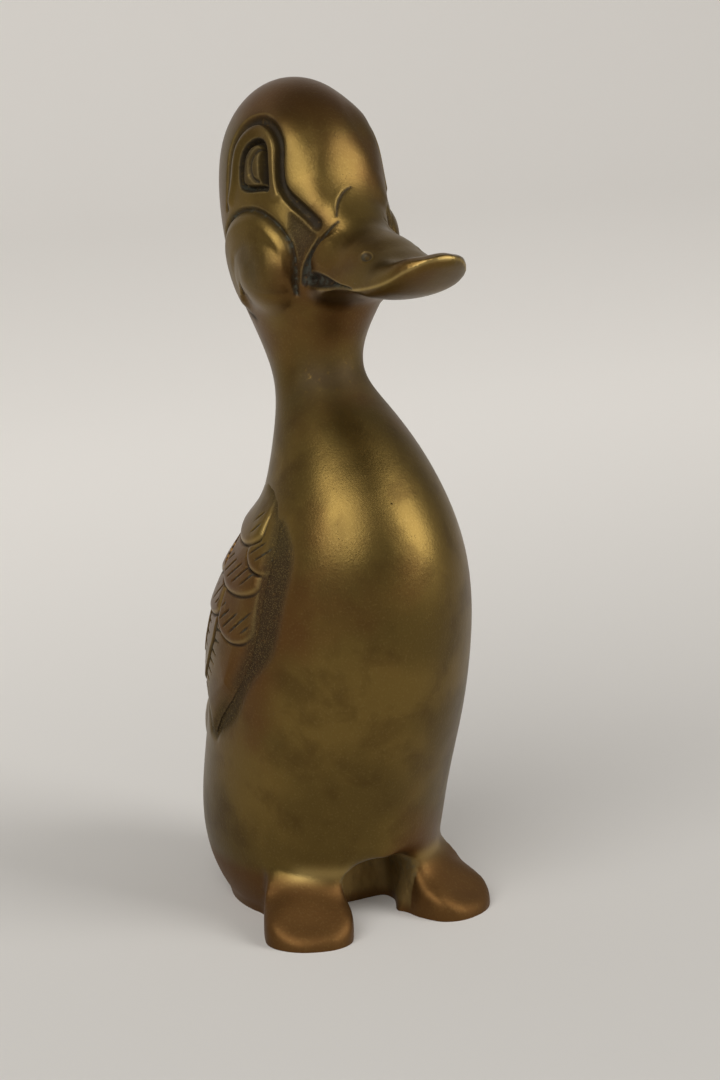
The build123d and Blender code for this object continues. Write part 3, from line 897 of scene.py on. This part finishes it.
# The hollow of the solids as one core, ring over ring from the floor up
RING = 48
heights = [0.3, 2, 4, 6, 8, 10, 12, 14, 15.5, 16.4, 17.2, 19]
heights += [*range(22, 100, 3), *range(100, 112), *range(114, 156, 3), 157, 158]
middle_y = 8.0
rings = []
for height in heights:
    if rings:
        behind = first_wall(Vector((CORE_X, middle_y, height)), Vector((0, 1, 0)))
        before = first_wall(Vector((CORE_X, middle_y, height)), Vector((0, -1, 0)))
        if behind is None or before is None:
            break
        middle_y += (behind - before) / 2
    ring = []
    for turn in range(RING):
        angle = math.radians((turn + 0.5) * 360 / RING)
        way = Vector((math.cos(angle), math.sin(angle), 0))
        run = first_wall(Vector((CORE_X, middle_y, height)), way)
        ring.append((CORE_X + run * way.x, middle_y + run * way.y, height))
    rings.append(ring)
rings.insert(0, [(x, y, -4.0) for x, y, z in rings[0]])
core = bpy.data.meshes.new("core")
core_points = [tuple(c * MM for c in p) for ring in rings for p in ring]
core_faces = [tuple(range(RING))[::-1], tuple(range(len(core_points) - RING, len(core_points)))]
for level in range(len(rings) - 1):
    for turn in range(RING):
        a, b = level * RING + turn, level * RING + (turn + 1) % RING
        core_faces.append((a, b, b + RING, a + RING))
core.from_pydata(core_points, [], core_faces)

# The skin is cut into the castings again, and hollowed as the solids are
BILL_BACK_Y = -9.6 + AXIS_Y
FOOT_ROOT = 20.3
FOOT_END = 60
FOOT_HALF_WIDTH = 9.9
FOOT_TOP = 11.5
bill_block = box((-14, -70, 119.5), (14, BILL_BACK_Y, 138))
foot_plan = []
for run, off in ((FOOT_ROOT, -1), (FOOT_END, -1), (FOOT_END, 1), (FOOT_ROOT, 1)):
    foot_plan.append(np.array((0, AXIS_Y)) + run * toe + (FOOT_ASIDE + off * FOOT_HALF_WIDTH) * aside)

castings = {}
fine = thinned(fine, SKIN_TRIANGLES)
fine.shade_smooth()
layer = fine.attributes.new("skin_normal", "FLOAT_VECTOR", "POINT")
layer.data.foreach_set("vector", vertex_normals(fine).astype(np.float32).ravel())


def place_keys(mesh):
    """One number for the place of each vertex, to two thousandths of a millimetre."""
    spots = np.round(mesh_arrays(mesh)[0] / 0.002).astype(np.int64)
    return spots[:, 0] * 1000003 + spots[:, 1] * 1000000007 + spots[:, 2]


skin_keys = np.unique(place_keys(fine))
MARKS = ("grime_and_shade", "green", "matte", "worn_and_highlight", "ridge")


def marks_of(mesh):
    """The marks of each vertex side by side, followed by the skin's direction outward."""
    columns = [values_of(mesh.attributes[name].data, "value")[:, None] for name in MARKS]
    return np.hstack([*columns, values_of(mesh.attributes["skin_normal"].data, "vector", 3)])


skin_marks = marks_of(fine)
skin_points = [Vector(p) for p in mesh_arrays(fine)[0]]
fine.calc_loop_triangles()
skin_triangles = values_of(fine.loop_triangles, "vertices", 3, np.int32)
skin_tree = BVHTree.FromPolygons(skin_points, skin_triangles.tolist())


def mend_cuts(mesh):
    """Gives the points that a cut has made the marks of the skin they lie on. Returns directions outward."""
    marks = marks_of(mesh)
    points = mesh_arrays(mesh)[0]
    for lost in np.flatnonzero(np.abs(marks[:, len(MARKS):]).sum(1) < 0.1):
        spot, _, which, gap = skin_tree.find_nearest(Vector(points[lost]))
        if gap < 0.02:
            corners = skin_triangles[which]
            units = (Vector((1, 0, 0)), Vector((0, 1, 0)), Vector((0, 0, 1)))
            share = barycentric_transform(spot, *[skin_points[c] for c in corners], *units)
            marks[lost] = np.array(share) @ skin_marks[corners]
    for column, name in enumerate(MARKS):
        mesh.attributes[name].data.foreach_set("value", np.ascontiguousarray(marks[:, column]))
    return marks[:, len(MARKS):]


left_plan = [(-x, y) for x, y in foot_plan[::-1]]
for hand, start, end, plan in (("right", -FAR, 0, foot_plan), ("left", 0, FAR, left_plan)):
    foot_block = block([(x, y, -5) for x, y in plan] + [(x, y, FOOT_TOP) for x, y in plan])
    body = cut(fine, "INTERSECT", box((start, -FAR, 0), (end, FAR, NECK_Z)))
    castings[hand + "_foot"] = cut(body, "INTERSECT", foot_block.copy())
    body = cut(body, "DIFFERENCE", foot_block)
    castings["body_" + hand + "_half"] = cut(body, "DIFFERENCE", core.copy())
    head = cut(fine, "INTERSECT", box((start, -FAR, NECK_Z), (end, FAR, 3 * FAR)))
    head = cut(head, "DIFFERENCE", bill_block.copy())
    castings["head_" + hand + "_half"] = cut(head, "DIFFERENCE", core.copy())
castings["bill"] = cut(fine, "INTERSECT", bill_block)
castings["right_wing"] = thinned(wing_mesh, WING_TRIANGLES)
castings["left_wing"] = castings["right_wing"].copy()
castings["left_wing"].transform(Matrix.Scale(-1, 4, Vector((1, 0, 0))))
castings["left_wing"].flip_normals()

# Aged brass: olive and brown patina over gold, reddish in places, rubbed bright on ridges, dark and green in
# the chased lines, pitted all over, with painted highlights in the rubbed colour and painted shade in the
# dark colour in places
material = bpy.data.materials.new("aged_brass")
material.use_nodes = True
nodes = material.node_tree.nodes
links = material.node_tree.links
nodes.clear()


def feed(socket, value):
    if isinstance(value, bpy.types.NodeSocket):
        links.new(value, socket)
    else:
        socket.default_value = value


def noise(scale, detail=3.0, roughness=0.5, twist=0.0):
    made = nodes.new("ShaderNodeTexNoise")
    feed(made.inputs["Vector"], place)
    feed(made.inputs["Scale"], scale)
    feed(made.inputs["Detail"], detail)
    feed(made.inputs["Roughness"], roughness)
    feed(made.inputs["Distortion"], twist)
    return made.outputs["Fac"]


def cells(scale):
    made = nodes.new("ShaderNodeTexVoronoi")
    feed(made.inputs["Vector"], place)
    feed(made.inputs["Scale"], scale)
    return made.outputs["Distance"]


def stored(name):
    made = nodes.new("ShaderNodeAttribute")
    made.attribute_name = name
    return made.outputs["Fac"]


def limits(value, low, high):
    made = nodes.new("ShaderNodeMapRange")
    made.interpolation_type = "SMOOTHSTEP"
    feed(made.inputs["Value"], value)
    feed(made.inputs["From Min"], low)
    feed(made.inputs["From Max"], high)
    return made.outputs["Result"]


def sum_of(operation, first, second, third=0.0):
    made = nodes.new("ShaderNodeMath")
    made.operation = operation
    feed(made.inputs[0], first)
    feed(made.inputs[1], second)
    feed(made.inputs[2], third)
    return made.outputs[0]


def times(*values):
    total = values[0]
    for value in values[1:]:
        total = sum_of("MULTIPLY", total, value)
    return total


def most(first, second):
    return sum_of("MAXIMUM", first, second)


def blend(share, first, second):
    made = nodes.new("ShaderNodeMix")
    made.data_type = "RGBA"
    feed(made.inputs[0], share)
    feed(made.inputs[6], first)
    feed(made.inputs[7], second)
    return made.outputs[2]


where = nodes.new("ShaderNodeTexCoord")
place = where.outputs["Object"]
apart = nodes.new("ShaderNodeSeparateXYZ")
feed(apart.inputs[0], place)
height = apart.outputs["Z"]

OLIVE = (0.120, 0.078, 0.022, 1)
GOLD = (0.175, 0.113, 0.031, 1)
BROWN = (0.080, 0.046, 0.014, 1)
RED = (0.125, 0.058, 0.019, 1)
RUBBED_AND_HIGHLIGHT = (0.500, 0.360, 0.130, 1)
SOOT_AND_SHADE = (0.014, 0.010, 0.006, 1)
VERDIGRIS = (0.085, 0.100, 0.080, 1)

cloud = noise(42)
fleck = noise(150, twist=0.3)
speck = noise(2200, detail=2)
ridge = stored("ridge")
hollow_mark = limits(ridge, -0.12, -0.5)
ridge_mark = limits(ridge, 0.18, 0.55)
colour = blend(limits(cloud, 0.40, 0.62), OLIVE, GOLD)
colour = blend(times(limits(fleck, 0.46, 0.72), 0.5), colour, BROWN)
crown = limits(height, 0.149, 0.158)
toes = limits(height, 0.0125, 0.0085)
red_share = most(most(crown, toes), limits(noise(30), 0.46, 0.66))
colour = blend(times(red_share, 0.85), colour, RED)
colour = blend(times(limits(speck, 0.52, 0.74), 0.06), colour, RUBBED_AND_HIGHLIGHT)
ridge_share = sum_of("MULTIPLY_ADD", toes, -0.3, 0.35)
# Rubbed wear on ridges, together with painted highlights where the worn-and-highlight mark holds them
rubbed_and_highlight = most(stored("worn_and_highlight"), times(ridge_mark, limits(fleck, 0.3, 0.6), ridge_share))
colour = blend(times(rubbed_and_highlight, 0.6), colour, RUBBED_AND_HIGHLIGHT)
pits = times(limits(cells(2400), 0.20, 0.08), limits(noise(260, detail=2), 0.54, 0.66))
# Dark patina and dirt, together with painted shade where the grime-and-shade mark holds it
dirt_and_shade = most(stored("grime_and_shade"), times(hollow_mark, 0.7))
dirt_and_shade = most(times(dirt_and_shade, limits(noise(900, roughness=0.6), 0.15, 0.45)), times(pits, 0.4))
colour = blend(times(dirt_and_shade, 0.9), colour, SOOT_AND_SHADE)
verdigris = times(stored("green"), limits(noise(600, roughness=0.6), 0.48, 0.62))
colour = blend(times(verdigris, 0.85), colour, VERDIGRIS)
colour = blend(times(stored("matte"), limits(noise(4800, detail=2), 0.50, 0.70), 0.20), colour, RUBBED_AND_HIGHLIGHT)
dull = most(dirt_and_shade, verdigris)
gloss = sum_of("MULTIPLY_ADD", fleck, 0.12, 0.32)
gloss = sum_of("MULTIPLY_ADD", stored("matte"), 0.26, gloss)
gloss = sum_of("MULTIPLY_ADD", dull, 0.30, gloss)
gloss = sum_of("MULTIPLY_ADD", toes, 0.16, gloss)

skin_relief = times(speck, 0.45)
skin_relief = sum_of("MULTIPLY_ADD", pits, -0.5, skin_relief)
skin_relief = sum_of("MULTIPLY_ADD", noise(260, detail=2), 0.7, skin_relief)
bump = nodes.new("ShaderNodeBump")
feed(bump.inputs["Strength"], 0.8)
feed(bump.inputs["Distance"], 0.00007)
feed(bump.inputs["Height"], skin_relief)

shader = nodes.new("ShaderNodeBsdfPrincipled")
feed(shader.inputs["Base Color"], colour)
feed(shader.inputs["Metallic"], sum_of("MULTIPLY_ADD", dull, -0.8, 1.0))
feed(shader.inputs["Roughness"], gloss)
feed(shader.inputs["Specular IOR Level"], 0.2)
feed(shader.inputs["Normal"], bump.outputs["Normal"])
surface = nodes.new("ShaderNodeOutputMaterial")
feed(surface.inputs["Surface"], shader.outputs["BSDF"])


SHARP = math.radians(60)


def keep_shading(mesh):
    """Shades the outer skin of a casting as it was before the cut, so that no seam shows as a fold."""
    layer = mesh.attributes.get("skin_normal")
    if layer is None:
        return
    before = mend_cuts(mesh)
    corners = values_of(mesh.loops, "vertex_index", 1, np.int32)
    now = values_of(mesh.corner_normals, "vector", 3)
    starts = values_of(mesh.polygons, "loop_start", 1, np.int32)
    totals = values_of(mesh.polygons, "loop_total", 1, np.int32)
    areas = values_of(mesh.polygons, "area")
    on_skin = np.logical_or.reduceat(np.isin(place_keys(mesh), skin_keys)[corners], starts)
    on_skin |= areas < SLIVER * MM * MM
    length = np.linalg.norm(before, axis=1)[corners]
    wanted = before[corners] / np.maximum(length, 1e-6)[:, None]
    outer = np.repeat(on_skin, totals) & (length > 0.5)
    now[outer] = wanted[outer]
    mesh.normals_split_custom_set([tuple(n) for n in now])
    mesh.attributes.remove(layer)


for name, mesh in castings.items():
    mesh.shade_smooth()
    mesh.set_sharp_from_angle(angle=SHARP)
    keep_shading(mesh)
    mesh.materials.clear()
    mesh.materials.append(material)
    piece = new_object(name + "_casting", mesh)
    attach(piece, "root")
    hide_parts(name)

# Floor that sweeps up behind the duck
SWEEP_START = 0.95
SWEEP_RADIUS = 0.6
profile = [(-7.0, 0.0), (-2.0, 0.0), (0.0, 0.0)]
for turn in range(0, 91, 5):
    angle = math.radians(turn)
    profile.append((SWEEP_START + SWEEP_RADIUS * math.sin(angle), SWEEP_RADIUS * (1 - math.cos(angle))))
profile.append((SWEEP_START + SWEEP_RADIUS, 2.4))
floor_mesh = bpy.data.meshes.new("floor")
floor_points = [(x, y, z) for y, z in profile for x in (-5.0, 5.0)]
floor_faces = [(2 * i, 2 * i + 1, 2 * i + 3, 2 * i + 2) for i in range(len(profile) - 1)]
floor_mesh.from_pydata(floor_points, [], floor_faces)
floor_mesh.shade_smooth()
floor = new_object("floor", floor_mesh)
paper = bpy.data.materials.new("paper")
paper.use_nodes = True
floor_mesh.materials.append(paper)
nodes = paper.node_tree.nodes
links = paper.node_tree.links
shader = nodes["Principled BSDF"]
feed(shader.inputs["Base Color"], (0.60, 0.577, 0.542, 1))
feed(shader.inputs["Roughness"], 0.9)

# The backdrop is seen as pale as the photo's, also in the brass, without lighting the duck
where = nodes.new("ShaderNodeTexCoord")
apart = nodes.new("ShaderNodeSeparateXYZ")
feed(apart.inputs[0], where.outputs["Object"])
far_share = limits(apart.outputs["Y"], -0.15, 0.45)
ray = nodes.new("ShaderNodeLightPath").outputs
seen = most(most(ray["Is Camera Ray"], ray["Is Glossy Ray"]), ray["Is Transmission Ray"])
feed(shader.inputs["Emission Color"], (1.0, 0.95, 0.885, 1))
feed(shader.inputs["Emission Strength"], times(seen, far_share, 0.36))

# Soft light: the room, and two wide lamps in front, one to each hand
world = bpy.data.worlds.new("room")
bpy.context.scene.world = world
world.use_nodes = True
room = world.node_tree.nodes["Background"]
room.inputs["Color"].default_value = (1.0, 0.98, 0.95, 1)
room.inputs["Strength"].default_value = 0.24
TARGET = Vector((0, 0, 0.085))
for name, turn, rise, distance, wide, tall, power in (
    ("lamp_right", -56, 37, 1.1, 0.8, 0.8, 8.6),
    ("lamp_left", 40, 27, 1.1, 0.6, 1.0, 8.0),
):
    lamp = bpy.data.lights.new(name, "AREA")
    lamp.shape = "RECTANGLE"
    lamp.size = wide
    lamp.size_y = tall
    lamp.energy = power
    lamp_thing = new_object(name, lamp)
    turn, rise = math.radians(turn), math.radians(rise)
    away = Vector((math.sin(turn) * math.cos(rise), -math.cos(turn) * math.cos(rise), math.sin(rise)))
    lamp_thing.location = TARGET + distance * away
    lamp_thing.rotation_euler = away.to_track_quat("Z", "Y").to_euler()

camera = bpy.data.cameras.new("camera")
camera.lens = CAMERA_LENS
camera.clip_start = 0.01
camera_thing = new_object("camera", camera)
camera_thing.location = Vector(CAMERA_AT) * MM
camera_thing.rotation_euler = (math.radians(90 - CAMERA_DIP), 0, math.radians(CAMERA_TURN))
bpy.context.scene.camera = camera_thing
bpy.context.scene.view_settings.view_transform = "Standard"

bpy.context.view_layer.update()
